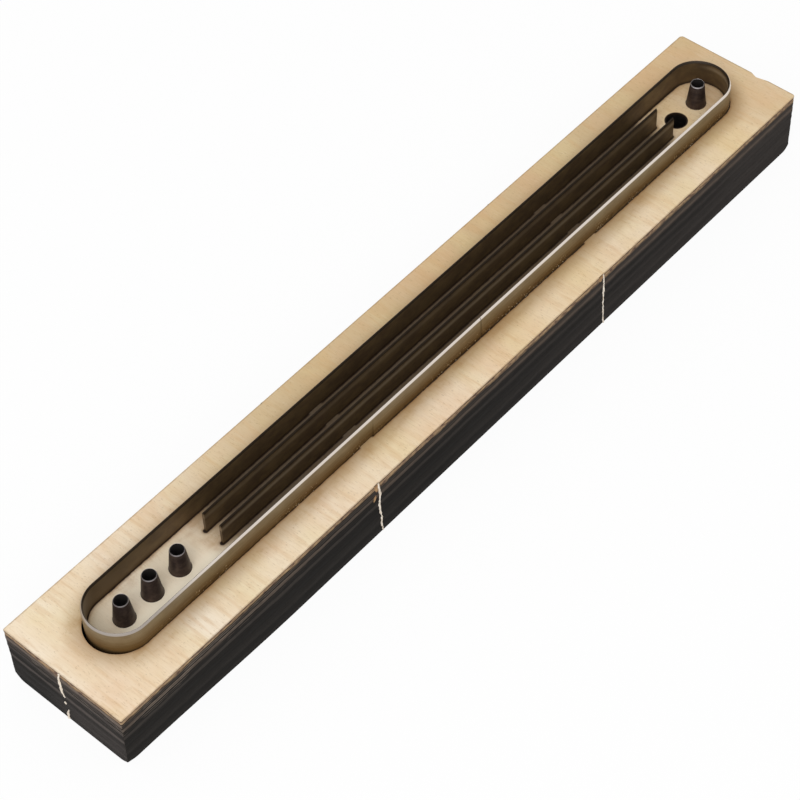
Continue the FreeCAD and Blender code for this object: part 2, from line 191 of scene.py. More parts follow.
def blend(tree, factor, first, second):
    """Mix of two colours, each a hex string or another node's colour."""
    colours = [linear(c) if isinstance(c, str) else c for c in (first, second)]
    mix = add(tree, "Mix", {"Factor": factor}, data_type="RGBA")
    for socket, colour in zip((mix.inputs[6], mix.inputs[7]), colours):
        if isinstance(colour, bpy.types.NodeSocket):
            tree.links.new(colour, socket)
        else:
            socket.default_value = colour
    return mix.outputs[2]


def bump(tree, height, depth_mm, normal=None):
    """Normals of a relief that is depth_mm high where height is 1."""
    inputs = {"Height": height, "Strength": 1.0, "Distance": depth_mm * MM}
    if normal is not None:
        inputs["Normal"] = normal
    return add(tree, "Bump", inputs).outputs["Normal"]


print("pattern helpers ready")

# %% [markdown]
# ## How far is the nearest rule?
#
# The laser scorches the wood beside each slot, so the veneer has to know how far it is from the nearest slot.
# The strap's outline is a stadium: a straight line's distance, less the bend's radius. The slits are straight
# lines, mirrored about the strap's middle.

# %% Distance to the slots and holes
punches = {"hole_punch_%d" % i: corners_mm("hole_punch_%d" % i) for i in (1, 2, 3, 4)}
spare = next(m for m in frame["record"]["mounts"] if m["name"] == "spare_punch_seat")
SPARE_HOLE = np.array(spare["pos_m"][:2]) / MM
SEAT = spare["dims"]["r_mm"]
SLIT_OFFSET = STRAP_MIDDLE - (slit_low[1] + slit_high[1]) / 2


def distance_to_line(tree, x, y, start, end):
    """Distance in the plan to the line from x = start to x = end at y = 0."""
    middle, half = (start + end) / 2, (end - start) / 2
    past = work(tree, "MAXIMUM", work(tree, "SUBTRACT", work(tree, "ABSOLUTE",
                work(tree, "SUBTRACT", x, middle)), half), 0.0)
    squares = work(tree, "ADD", work(tree, "MULTIPLY", past, past), work(tree, "MULTIPLY", y, y))
    return work(tree, "SQRT", squares)


def distance_beyond_outline(tree, x, y):
    """Distance in the plan outwards from the middle of the outline rule, negative inside the strap."""
    across = work(tree, "SUBTRACT", y, STRAP_MIDDLE)
    spine = distance_to_line(tree, x, across, STRAP_LEFT + BEND, STRAP_RIGHT - BEND)
    return work(tree, "SUBTRACT", spine, BEND)


def distance_to_rules(tree, x, y):
    """Distance in the plan to the middle of the nearest rule."""
    outline = work(tree, "ABSOLUTE", distance_beyond_outline(tree, x, y))
    across = work(tree, "ABSOLUTE", work(tree, "SUBTRACT", y, STRAP_MIDDLE))
    slits = distance_to_line(tree, x, work(tree, "SUBTRACT", across, SLIT_OFFSET), slit_low[0], slit_high[0])
    return work(tree, "MINIMUM", outline, slits)


def distance_to_circles(tree, x, y, centres, radius):
    """Distance in the plan to the rim of the nearest circle."""
    nearest = None
    for centre in centres:
        dx = work(tree, "SUBTRACT", x, centre[0])
        dy = work(tree, "SUBTRACT", y, centre[1])
        squares = work(tree, "ADD", work(tree, "MULTIPLY", dx, dx), work(tree, "MULTIPLY", dy, dy))
        rim = work(tree, "SUBTRACT", work(tree, "SQRT", squares), radius)
        nearest = rim if nearest is None else work(tree, "MINIMUM", nearest, rim)
    return nearest


print("bare hole at x %.2f mm, radius %.2f mm" % (SPARE_HOLE[0], SEAT))

# %% [markdown]
# ## Birch face veneer
#
# The board's face is rotary-cut birch, raw and sanded: pale cream, with fine fibres and faint pores that run
# across the board, a broad soft figure and a matt surface. The laser browned the wood beside each cut, and the
# narrow channels between the rules are darkened by its smoke stain together with painted shade. The far strip
# and the right end carry painted shade of the rules, and the clean wood inside the left end is painted lighter
# towards the near rule. No scorch crosses a bridge, because the laser skips it.

# %% Veneer material


def birch_veneer():
    material, tree, shader, mm = new_material("raw_birch_veneer")
    xyz = add(tree, "SeparateXYZ", {0: mm})
    x, y, z = (xyz.outputs[axis] for axis in "XYZ")

    figure = grain(tree, mm, (11, 40, 40), detail=3, roughness=0.6)
    rosy = grain(tree, mm, (17, 15, 40), detail=3, offset=17)
    straw = grain(tree, mm, (12, 17, 40), detail=3, offset=37)
    fibre = grain(tree, mm, (0.34, 4, 3), detail=4, roughness=0.65, offset=5)
    flame = grain(tree, mm, (1.3, 10, 3), detail=2, roughness=0.55, offset=41)
    pores = grain(tree, mm, (0.2, 0.9, 1), detail=1, roughness=0.6, offset=11)
    tone = work(tree, "ADD", work(tree, "MULTIPLY", share(tree, figure, 0.3, 0.7), 0.5),
                work(tree, "MULTIPLY", share(tree, x, -150, 110), 0.5), clamp=True)
    colour = blend(tree, tone, "f0e2cd", "e2c79d")
    # Painted shade of the rules: the far strip beyond the far rule and the right end beyond the right bend are
    # darker.
    right_end = share(tree, x, 96, 109)
    far_strip = work(tree, "MULTIPLY", share(tree, y, 5, 12), share(tree, x, -90, -30))
    painted_rule_shade = work(tree, "MAXIMUM", far_strip, work(tree, "MULTIPLY", right_end, 0.65))
    colour = blend(tree, work(tree, "MULTIPLY", painted_rule_shade, 0.75), colour, "c4a97c")
    colour = blend(tree, work(tree, "MULTIPLY", share(tree, rosy, 0.42, 0.7), 0.35), colour, "dcb28c")
    colour = blend(tree, work(tree, "MULTIPLY", share(tree, straw, 0.45, 0.7), 0.35), colour, "e2cf9e")
    colour = blend(tree, work(tree, "MULTIPLY", share(tree, flame, 0.48, 0.72), 0.3), colour, "cfa878")
    colour = blend(tree, work(tree, "MULTIPLY", share(tree, fibre, 0.45, 0.75), 0.2), colour, "b4915f")
    colour = blend(tree, work(tree, "MULTIPLY", share(tree, fibre, 0.42, 0.2), 0.2), colour, "f8eedc")
    colour = blend(tree, work(tree, "MULTIPLY", share(tree, pores, 0.62, 0.76), 0.35), colour, "967a55")

    from_rule = distance_to_rules(tree, x, y)
    beyond = distance_beyond_outline(tree, x, y)
    clean = work(tree, "MULTIPLY", share(tree, beyond, -0.5, -2.5),
                 share(tree, x, slit_low[0] + 3, slit_low[0] - 5))
    # The clean wood is made lighter still towards the near rule: painted light against the rule's shadow.
    painted_light_near_side = work(tree, "ADD", 0.5, work(tree, "MULTIPLY", share(tree, y, 0.0, -4.5), 0.5))
    colour = blend(tree, work(tree, "MULTIPLY", clean, painted_light_near_side), colour, "faeed6")
    # Smoke stain and painted shade darken the narrow channels between the rules.
    within = work(tree, "MULTIPLY", share(tree, x, slit_low[0] - 5, slit_low[0] + 9),
                  share(tree, x, slit_high[0] + 1, slit_high[0] - 4))
    smoke_and_painted_shade = work(tree, "MULTIPLY", within, share(tree, beyond, 0.0, -0.3))
    smudge = grain(tree, mm, (7, 4, 4), detail=4, roughness=0.6, offset=21)
    beside = share(tree, from_rule, 6.0, 0.8)
    stain = work(tree, "MULTIPLY", work(tree, "MULTIPLY", share(tree, smudge, 0.48, 0.7), beside), 0.5)
    colour = blend(tree, stain, colour, "b98f5c")

    rough_edge = grain(tree, mm, (1.2, 1.2, 1.2), detail=3, roughness=0.6, offset=2)
    ragged = work(tree, "SUBTRACT", from_rule, work(tree, "MULTIPLY", rough_edge, 0.36))
    bridges = [work(tree, "ABSOLUTE", work(tree, "SUBTRACT", x, b)) for b in (LEFT_BRIDGE, RIGHT_BRIDGE)]
    off_bridge = share(tree, work(tree, "MINIMUM", *bridges), BRIDGE / 2 - 0.6, BRIDGE / 2 + 0.2)
    browned = work(tree, "MULTIPLY", share(tree, ragged, 6.0, -0.3), share(tree, beyond, -0.3, 0.3))
    by_place = work(tree, "ADD", 0.6, work(tree, "MULTIPLY", share(tree, x, -103, -85), 0.2))
    colour = blend(tree, work(tree, "MULTIPLY", browned, by_place), colour, "967548")
    halo = work(tree, "MULTIPLY", share(tree, ragged, RULE / 2 + 0.8, RULE / 2), 0.5)
    colour = blend(tree, work(tree, "MULTIPLY", halo, off_bridge), colour, "8c6236")
    colour = blend(tree, work(tree, "MULTIPLY", smoke_and_painted_shade, 0.9), colour, "4f4030")
    scorch = work(tree, "MULTIPLY", share(tree, ragged, RULE / 2 + 0.22, RULE / 2 - 0.06), off_bridge)
    bare = distance_to_circles(tree, x, y, [SPARE_HOLE], SEAT)
    colour = blend(tree, work(tree, "MAXIMUM", scorch, share(tree, bare, 0.42, 0.22)), colour, "22140a")

    sides = [(x, PANEL_LOW[0]), (x, PANEL_HIGH[0]), (y, PANEL_LOW[1]), (y, PANEL_HIGH[1])]
    margin = None
    for place, side in sides:
        gap = work(tree, "ABSOLUTE", work(tree, "SUBTRACT", place, side))
        margin = gap if margin is None else work(tree, "MINIMUM", margin, gap)
    margin = work(tree, "SUBTRACT", margin, work(tree, "MULTIPLY", rough_edge, 0.5))
    colour = blend(tree, work(tree, "MULTIPLY", share(tree, margin, 0.2, -0.2), 0.45), colour, "7d5c38")
    worn_foot = work(tree, "MULTIPLY", share(tree, z, 0.02, 0.2), share(tree, z, TOP / 2, TOP / 4))
    colour = blend(tree, worn_foot, colour, "2b2624")

    tree.links.new(colour, shader.inputs["Base Color"])
    shader.inputs["Roughness"].default_value = 0.8
    shader.inputs["Specular IOR Level"].default_value = 0.3
    relief = work(tree, "SUBTRACT", fibre, work(tree, "MULTIPLY", share(tree, pores, 0.6, 0.75), 0.6))
    tree.links.new(bump(tree, relief, 0.015), shader.inputs["Normal"])
    return material


veneer = birch_veneer()
print(veneer.name, "has", len(veneer.node_tree.nodes), "nodes")

# %% [markdown]
# ## Laser-burnt ply edges
#
# The laser leaves the board's sides charred, from brown at the top, where the beam is narrowest, to slate black
# below. The plies lie crosswise in turn, so on the long sides every second ply shows its end grain, which chars
# darkest, and on the ends it is the other plies. White noise on the ply's number also gives each one a tone of
# its own. Dark glue lines part the plies, and bare glints of wood are left near the left end.

# %% Burnt edge material
PLY = TOP / PLIES


def burnt_edge():
    material, tree, shader, mm = new_material("laser_burnt_ply_edge")
    xyz = add(tree, "SeparateXYZ", {0: mm})
    x, y, z = (xyz.outputs[axis] for axis in "XYZ")
    facing = add(tree, "SeparateXYZ", {0: add(tree, "TexCoord").outputs["Normal"]})
    on_end = share(tree, work(tree, "ABSOLUTE", facing.outputs["X"]), 0.6, 0.8)
    depth = work(tree, "SUBTRACT", TOP, z)
    wander = grain(tree, mm, (28, 28, 9), detail=3, roughness=0.6, offset=3)
    streaks = grain(tree, mm, (16, 16, 0.35), detail=4, roughness=0.7, offset=7)
    patches = grain(tree, mm, (7, 7, 3), detail=3, roughness=0.6, offset=29)
    soot = grain(tree, mm, (2.2, 2.2, 0.9), detail=4, roughness=0.7, offset=13)

    shift = work(tree, "MULTIPLY", work(tree, "SUBTRACT", wander, 0.5), 0.8)
    level = work(tree, "ADD", work(tree, "DIVIDE", z, PLY), shift)
    number = work(tree, "ADD", work(tree, "FLOOR", level), work(tree, "MULTIPLY", on_end, 20.0))
    own_tone = add(tree, "TexWhiteNoise", {"W": number}, noise_dimensions="1D").outputs["Value"]
    from_glue = work(tree, "PINGPONG", level, 0.5)
    odd_ply = work(tree, "PINGPONG", work(tree, "SUBTRACT", level, 0.5), 1.0)
    end_grain = work(tree, "ABSOLUTE", work(tree, "SUBTRACT", odd_ply, on_end))
    lively = work(tree, "MULTIPLY", work(tree, "MAXIMUM", on_end, share(tree, x, 50, -70)),
                  share(tree, depth, 11.0, 5.0))
    lively = work(tree, "ADD", 0.25, work(tree, "MULTIPLY", lively, 0.75))

    tone = work(tree, "ADD", work(tree, "MULTIPLY", own_tone, 0.5), work(tree, "MULTIPLY", streaks, 0.5))
    tone = work(tree, "MULTIPLY", share(tree, tone, 0.25, 0.8), lively)
    far_corner = work(tree, "MULTIPLY", share(tree, y, -5, 9), share(tree, depth, 3, 8))
    # The end faces take lighter colours than the long sides: painted light, for the light that falls on the left
    # end.
    end_dark = blend(tree, far_corner, "373331", "201f1e")
    dark = blend(tree, on_end, "1f1d1b", end_dark)
    pale = blend(tree, on_end, "3c3733", "675e59")
    colour = blend(tree, tone, dark, pale)
    colour = blend(tree, work(tree, "MULTIPLY", share(tree, x, -20, 70), 0.4), colour, "3b3532")

    charred = work(tree, "ADD", 0.35, work(tree, "MULTIPLY", share(tree, depth, 12.5, 9.5), 0.45))
    charred = work(tree, "MULTIPLY", work(tree, "MULTIPLY", charred, share(tree, x, 100, 75)),
                   share(tree, depth, 2.5, 5.5))
    colour = blend(tree, work(tree, "MULTIPLY", charred, end_grain), colour, "12100e")

    brown = blend(tree, share(tree, soot, 0.35, 0.7), "a88c69", "604842")
    brown_depth = work(tree, "ADD", depth, work(tree, "MULTIPLY", patches, 1.2))
    long_grain = work(tree, "SUBTRACT", 1.0, end_grain)
    warm = work(tree, "MULTIPLY", share(tree, brown_depth, 6.2, 4.2), long_grain)
    colour = blend(tree, work(tree, "MULTIPLY", warm, 0.22), colour, "97816f")
    top_brown = work(tree, "MULTIPLY", share(tree, brown_depth, 2.6, 1.7), 0.9)
    colour = blend(tree, top_brown, colour, brown)
    glue = work(tree, "MULTIPLY", share(tree, from_glue, 0.17, 0.05), share(tree, patches, 0.25, 0.55))
    colour = blend(tree, work(tree, "MULTIPLY", glue, lively), colour, "0f0d0c")
    glint = work(tree, "MULTIPLY", share(tree, work(tree, "ABSOLUTE", work(tree, "SUBTRACT", from_glue, 0.27)),
                 0.12, 0.04), share(tree, patches, 0.48, 0.6))
    glint = work(tree, "MULTIPLY", glint, work(tree, "MULTIPLY", share(tree, x, -50, -105),
                 share(tree, depth, 8.0, 3.0)))
    colour = blend(tree, work(tree, "MULTIPLY", glint, 0.45), colour, "96887a")
    rim_depth = work(tree, "SUBTRACT", depth, work(tree, "MULTIPLY", patches, 0.5))
    colour = blend(tree, work(tree, "MULTIPLY", share(tree, rim_depth, 0.3, 0.0), 0.5), colour, "33241d")
    colour = blend(tree, work(tree, "MULTIPLY", share(tree, soot, 0.5, 0.75), 0.4), colour, "1a1817")

    tree.links.new(colour, shader.inputs["Base Color"])
    shader.inputs["Roughness"].default_value = 0.9
    shader.inputs["Specular IOR Level"].default_value = 0.12
    tree.links.new(bump(tree, streaks, 0.03, bump(tree, soot, 0.05)), shader.inputs["Normal"])
    return material


def charred_wall():
    """Soot-black wood inside the slots and holes, only a little browner at the top."""
    material, tree, shader, mm = new_material("charred_slot_wall")
    z = add(tree, "SeparateXYZ", {0: mm}).outputs["Z"]
    soot = grain(tree, mm, (1.5, 1.5, 0.8), detail=4, roughness=0.7, offset=13)
    colour = blend(tree, share(tree, soot, 0.35, 0.7), "0d0b0a", "1d1815")
    colour = blend(tree, work(tree, "MULTIPLY", share(tree, z, TOP - 0.9, TOP), 0.5), colour, "3a281a")
    tree.links.new(colour, shader.inputs["Base Color"])
    shader.inputs["Roughness"].default_value = 0.9
    shader.inputs["Specular IOR Level"].default_value = 0.12
    tree.links.new(bump(tree, soot, 0.04), shader.inputs["Normal"])
    return material


ply_edge = burnt_edge()
slot_wall = charred_wall()
print("burnt edges:", ply_edge.name, slot_wall.name)

# %% [markdown]
# ## Rule steel
#
# Rule is hardened strip steel with the brown scale of its heat treatment, and a bevel that is ground bright
# last. Handling has polished the outline rule's outer side and its bevel; the sides that face into the channels
# keep their brown scale and the laser's soot. There the bevel is painted dark, a painted reflection of the dark
# rule opposite, and a lighter band below the shoulder is a painted highlight. Round the left bend the outer
# bevel is painted duller, a painted reflection as well. Scale is no bare metal, so it is only part metallic.
# The mesh carries an attribute that tells the two apart: 1 on the outer side, -1 on the other.

# %% Rule steel material


def rule_steel():
    material, tree, shader, mm = new_material("scaled_rule_steel")
    xyz = add(tree, "SeparateXYZ", {0: mm})
    x, y, z = (xyz.outputs[axis] for axis in "XYZ")
    side = add(tree, "Attribute", attribute_name="side_of_rule").outputs["Fac"]
    outer = share(tree, side, -0.02, 0.05)
    shoulder = CUTTING_EDGE - BEVEL
    ground = share(tree, z, shoulder - 0.03, shoulder + 0.05)
    above = work(tree, "SUBTRACT", z, TOP)
    mottle = grain(tree, mm, (5, 5, 2.5), detail=5, roughness=0.65)
    rolled = grain(tree, mm, (14, 14, 0.2), detail=3, roughness=0.6, offset=4)

    handled = blend(tree, share(tree, above, 0.4, 5.5), "7a6643", "8f8672")
    handled = blend(tree, work(tree, "MULTIPLY", share(tree, mottle, 0.35, 0.7), 0.4), handled, "6d5d44")
    handled = blend(tree, work(tree, "MULTIPLY", share(tree, rolled, 0.5, 0.75), 0.35), handled, "a89c86")
    # Round the left bend the ground bevel is painted duller: a painted reflection, dimmer than on the straights.
    ground_bevel_dimmed_at_bend = blend(tree, share(tree, x, -98, -78), "a89f97", "dcd2c8")
    handled = blend(tree, ground, handled, ground_bevel_dimmed_at_bend)
    scale = blend(tree, share(tree, mottle, 0.3, 0.7), "503f2c", "675438")
    scale = blend(tree, share(tree, x, -78, -98), scale, "56442b")
    # A painted highlight: a lighter band just below the shoulder on the sides that face into the channels.
    painted_shoulder_highlight = work(tree, "MULTIPLY", share(tree, z, shoulder - 1.9, shoulder - 1.0),
                  share(tree, z, shoulder - 0.1, shoulder - 0.9))
    painted_shoulder_highlight = work(tree, "MULTIPLY", painted_shoulder_highlight, share(tree, y, SLIT_OFFSET + 3.5, -SLIT_OFFSET))
    scale = blend(tree, work(tree, "MULTIPLY", painted_shoulder_highlight, 0.75), scale, "93826a")
    # On the channel sides the ground bevel is painted dark: a painted reflection of the dark rule opposite.
    scale = blend(tree, work(tree, "MULTIPLY", ground, 0.9), scale, "241a10")
    colour = blend(tree, outer, scale, handled)

    blotch = grain(tree, mm, (1.3, 1.3, 0.9), detail=2, roughness=0.5, offset=9)
    patches = grain(tree, mm, (11, 11, 30), detail=2, offset=15)
    straight = work(tree, "MULTIPLY", outer, share(tree, x, -98, -90))
    stains = work(tree, "MULTIPLY", share(tree, blotch, 0.44, 0.68), share(tree, above, 2.6, 0.3))
    stains = work(tree, "MULTIPLY", work(tree, "MULTIPLY", stains, share(tree, patches, 0.3, 0.55)), straight)
    colour = blend(tree, work(tree, "MULTIPLY", stains, 0.65), colour, "3e2814")
    soot = share(tree, above, 0.8, 0.0)
    sooty = work(tree, "SUBTRACT", 0.8, work(tree, "MULTIPLY", share(tree, x, 0, 50), 0.35))
    colour = blend(tree, work(tree, "MULTIPLY", soot, sooty), colour, "35210f")
    fleck = grain(tree, mm, (0.4, 0.4, 0.4), detail=0, offset=31)
    flecks = work(tree, "MULTIPLY", share(tree, fleck, 0.7, 0.76), share(tree, above, 2.8, 1.2))
    flecks = work(tree, "MULTIPLY", flecks, share(tree, patches, 0.42, 0.55))
    colour = blend(tree, work(tree, "MULTIPLY", flecks, straight), colour, "d8cdb4")

    tree.links.new(colour, shader.inputs["Base Color"])
    tree.links.new(work(tree, "ADD", 0.5, work(tree, "MULTIPLY", outer, 0.5)), shader.inputs["Metallic"])
    rough = work(tree, "ADD", 0.4, work(tree, "MULTIPLY", soot, 0.35))
    rough = work(tree, "SUBTRACT", rough, work(tree, "MULTIPLY", work(tree, "MULTIPLY", ground, outer), 0.12))
    tree.links.new(rough, shader.inputs["Roughness"])
    tree.links.new(bump(tree, rolled, 0.01, bump(tree, blotch, 0.012)), shader.inputs["Normal"])
    return material


steel = rule_steel()
print(steel.name, "ready")

# %% [markdown]
# ## Blackened punch steel
#
# The punches are turned from bar and oil-blackened, then their lips are ground, which leaves a thin bright
# ring. Down the bore it is near black, for soot and oil and as painted shade of the deep bore.

# %% Punch steel material
LIP_HEIGHT = 0.3
LIP_RADIUS = 1.725
HOLE_RADIUS = 1.55
SLUG_RADIUS = 1.85
THROAT = 4.0
SLUG_TAPER = 1.5


def punch_steel():
    material, tree, shader, mm = new_material("oil_blackened_steel")
    z = add(tree, "SeparateXYZ", {0: mm}).outputs["Z"]
    facing = add(tree, "SeparateXYZ", {0: add(tree, "TexCoord").outputs["Normal"]}).outputs["Z"]
    lip = work(tree, "MULTIPLY", share(tree, z, CUTTING_EDGE - LIP_HEIGHT, CUTTING_EDGE - LIP_HEIGHT + 0.06),
               share(tree, facing, 0.2, 0.4))
    turned = grain(tree, mm, (30, 30, 0.22), detail=3, roughness=0.7)
    mottle = grain(tree, mm, (1.6, 1.6, 1.6), detail=4, roughness=0.6, offset=6)
    colour = blend(tree, share(tree, mottle, 0.35, 0.7), "3a2e2a", "50423b")
    colour = blend(tree, work(tree, "MULTIPLY", share(tree, turned, 0.5, 0.75), 0.3), colour, "65564d")
    colour = blend(tree, lip, colour, "a39d9d")
    tree.links.new(colour, shader.inputs["Base Color"])
    shader.inputs["Metallic"].default_value = 0.7
    tree.links.new(work(tree, "SUBTRACT", 0.45, work(tree, "MULTIPLY", lip, 0.15)), shader.inputs["Roughness"])
    tree.links.new(bump(tree, turned, 0.012), shader.inputs["Normal"])
    return material


def bore_painted_shade():
    material, tree, shader, mm = new_material("sooty_bore_painted_shade")
    grime = grain(tree, mm, (0.9, 0.9, 2.2), detail=4, roughness=0.6, offset=8)
    # Near black inside the bore: soot and oil, together with painted shade of the deep bore.
    colour = blend(tree, grime, "0b0908", "1d1613")
    tree.links.new(colour, shader.inputs["Base Color"])
    shader.inputs["Roughness"].default_value = 0.7
    return material


blackened = punch_steel()
bore = bore_painted_shade()
print(blackened.name, bore.name)

# %% [markdown]
# ## Torn birch
#
# Five small tabs held the board in its sheet, and were snapped by hand. Their stubs are the palest wood on the
# sides, fibrous and matt. Beside two of them the face veneer lifted and shows a browner break.

# %% Torn wood materials


def torn_wood(name, shade, light):
    material, tree, shader, mm = new_material(name)
    fibre = grain(tree, mm, (0.25, 0.25, 1.6), detail=4, roughness=0.7)
    colour = blend(tree, share(tree, fibre, 0.35, 0.7), shade, light)
    tree.links.new(colour, shader.inputs["Base Color"])
    shader.inputs["Roughness"].default_value = 0.85
    tree.links.new(bump(tree, fibre, 0.08), shader.inputs["Normal"])
    return material


torn = torn_wood("torn_birch_fibre", "cdbca6", "f7efe4")
lifted = torn_wood("lifted_veneer", "84603f", "b08d60")
print(torn.name, lifted.name)

# %% [markdown]
# ## From arrays to an object
#
# Every shape below ends as an array of points and an array of faces. One function makes the mesh in metres,
# marks its sharp edges by angle and leaves the object at the origin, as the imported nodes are.

# %% Make an object


def make_piece(name, points, faces, materials, face_materials=None, sharp_degrees=30):
    """A mesh object from points in millimetres and faces as lists of point numbers."""
    mesh = bpy.data.meshes.new(name)
    mesh.from_pydata((np.asarray(points) * MM).tolist(), [], faces)
    for material in materials:
        mesh.materials.append(material)
    if face_materials is not None:
        mesh.polygons.foreach_set("material_index", np.asarray(face_materials, dtype=np.int32))
    mesh.polygons.foreach_set("use_smooth", np.ones(len(mesh.polygons), dtype=bool))
    mesh.set_sharp_from_angle(angle=np.radians(sharp_degrees))
    mesh.validate()
    mesh.update()
    piece = bpy.data.objects.new(name, mesh)
    bpy.context.scene.collection.objects.link(piece)
    return piece


def grid_faces(columns, rows, closed_columns=False, closed_rows=False, start=0):
    """Quads of a grid whose points are numbered column by column, rows points in each."""
    c = np.arange(columns if closed_columns else columns - 1)
    r = np.arange(rows if closed_rows else rows - 1)
    a, b = np.meshgrid(c, r, indexing="ij")
    a2, b2 = (a + 1) % columns, (b + 1) % rows
    quads = np.stack([a * rows + b, a2 * rows + b, a2 * rows + b2, a * rows + b2], -1)
    return (quads.reshape(-1, 4) + start).tolist()


def wavy(s, z, seed, lengths, count=18):
    """Smooth random field on the arrays s and z: a sum of sine waves, with random directions and phases,
    whose wavelengths lie near lengths (along s, along z). Its spread is about 1."""
    rng = np.random.default_rng(seed)
    total = np.zeros(np.broadcast(s, z).shape)
    for _ in range(count):
        ks, kz = rng.normal(0, 1, 2) * 2 * np.pi / np.array(lengths)
        total += np.sin(ks * s + kz * z + rng.uniform(0, 2 * np.pi))
    return total * np.sqrt(2 / count)


print("mesh helpers ready")

# %% [markdown]
# ## The board's outlines
#
# The board is a plan with holes, carried upwards. Its outlines are plain formulas: a rectangle with small round
# corners, U-shaped slots round the bends, straight slots and circles. The right end has a shallow wedge where its
# tab tore out.

# %% Work out the board's outlines
TEAR_PLACE = PANEL_LOW[1] + 11.4
TEAR_DEPTH = 0.7
TEAR_NEAR, TEAR_FAR = 3.2, 1.8
ARC_STEP = np.radians(4)


def arc(centre, radius, start, end):
    """Points on a circle from one angle to another, in radians."""
    steps = max(2, int(np.ceil(abs(end - start) / ARC_STEP))) + 1
    angle = np.linspace(start, end, steps)
    return np.column_stack([centre[0] + radius * np.cos(angle), centre[1] + radius * np.sin(angle)])


def divided(points, step):
    """The closed outline with its long sides divided, so that no side is longer than step."""
    following = np.roll(points, -1, axis=0)
    pieces = []
    for a, b in zip(points, following):
        count = max(1, int(np.ceil(np.linalg.norm(b - a) / step)))
        pieces.append(a + (b - a) * np.arange(count)[:, None] / count)
    return np.vstack(pieces)


def panel_outline():
    (x0, y0), (x1, y1), left, right = PANEL_LOW, PANEL_HIGH, LEFT_CORNER, RIGHT_CORNER
    quarter = np.pi / 2
    tear = [(x1, TEAR_PLACE - TEAR_NEAR), (x1 - TEAR_DEPTH, TEAR_PLACE), (x1, TEAR_PLACE + TEAR_FAR)]
    return np.vstack([
        arc((x0 + left, y0 + left), left, 2 * quarter, 3 * quarter),
        arc((x1 - right, y0 + right), right, 3 * quarter, 4 * quarter),
        tear,
        arc((x1 - right, y1 - right), right, 0, quarter),
        arc((x0 + left, y1 - left), left, quarter, 2 * quarter),
    ])


def rectangle(x0, y0, x1, y1):
    return np.array([(x0, y0), (x1, y0), (x1, y1), (x0, y1)])


def bend_slot(bend_x, open_x, relief=0.0):
    """U-shaped slot round one end of the strap: a half circle out and a half circle back, joined at the
    two open ends. The outer half circle's centre is moved outwards by the relief."""
    half = RULE / 2 + SLOT_CLEARANCE
    turn = np.sign(bend_x - open_x)
    start = -turn * np.pi / 2
    inner, outer = BEND - half, BEND + half
    centre = (bend_x, STRAP_MIDDLE)
    relieved = (bend_x + turn * relief, STRAP_MIDDLE)
    far_end = [(open_x, STRAP_MIDDLE + turn * outer), (open_x, STRAP_MIDDLE + turn * inner)]
    near_end = [(open_x, STRAP_MIDDLE - turn * inner), (open_x, STRAP_MIDDLE - turn * outer)]
    return np.vstack([
        arc(relieved, outer, start, start + np.pi), far_end,
        arc(centre, inner, start + np.pi, start), near_end,
    ])


def straight_slot(start, end, y):
    half = RULE / 2 + SLOT_CLEARANCE
    return rectangle(start, y - half, end, y + half)


HALF_BRIDGE = BRIDGE / 2
FIRST_BEND, LAST_BEND = STRAP_LEFT + BEND, STRAP_RIGHT - BEND
slit_runs = [
    (slit_low[0] - SLOT_CLEARANCE, LEFT_BRIDGE - HALF_BRIDGE),
    (LEFT_BRIDGE + HALF_BRIDGE, RIGHT_BRIDGE - HALF_BRIDGE),
    (RIGHT_BRIDGE + HALF_BRIDGE, slit_high[0] + SLOT_CLEARANCE),
]
punch_centres = [(low[:2] + high[:2]) / 2 for low, high in punches.values()]
slots = [bend_slot(FIRST_BEND, LEFT_BRIDGE - HALF_BRIDGE, BEND_RELIEF)]
slots += [bend_slot(LAST_BEND, RIGHT_BRIDGE + HALF_BRIDGE)]
slots += [straight_slot(*slit_runs[1], y) for y in (STRAP_NEAR, STRAP_FAR)]
slots += [straight_slot(*run, STRAP_MIDDLE + side * SLIT_OFFSET) for run in slit_runs for side in (-1, 1)]
slots += [arc(centre, SEAT, 0, 2 * np.pi)[:-1] for centre in (*punch_centres, SPARE_HOLE)]
print(len(slots), "openings through the board")

# %% [markdown]
# ## Carry the plan upwards
#
# Each outline becomes a wall: a grid with one column for each point and one row for each height. The outer wall
# is pushed in by up to a tenth of a millimetre where the laser ate the soft plies, which breaks the light on it.
# The near side also runs in a little towards its foot at the left end, and three of the lower corners are worn.
# The two faces are filled with triangles between the walls, so the board is one closed surface.

# %% Build the plywood board
WALL_STEP = 0.7
WALL_ROWS = 53
EROSION = 0.1
UNDERCUT, UNDERCUT_RUN, UNDERCUT_FADE = 0.9, 52.0, 3.0
WORN_CORNERS = [
    ((PANEL_LOW[0], PANEL_LOW[1]), 0.7, 1.6),
    ((PANEL_LOW[0], PANEL_HIGH[1]), 1.7, 1.3),
    ((PANEL_HIGH[0], PANEL_LOW[1]), 1.5, 1.4),
]


def smooth(value):
    """0 below 0, 1 above 1, and a smooth rise between them."""
    t = np.clip(value, 0, 1)
    return t * t * (3 - 2 * t)


def outline_normals(points):
    """Unit vectors that point out of a counter-clockwise outline, and the distance along it."""
    ahead = np.roll(points, -1, axis=0) - points
    behind = points - np.roll(points, 1, axis=0)
    lengths = np.linalg.norm(ahead, axis=1)
    tangent = ahead / lengths[:, None] + behind / np.linalg.norm(behind, axis=1)[:, None]
    tangent /= np.linalg.norm(tangent, axis=1)[:, None]
    return np.column_stack([tangent[:, 1], -tangent[:, 0]]), np.concatenate([[0], np.cumsum(lengths)[:-1]])


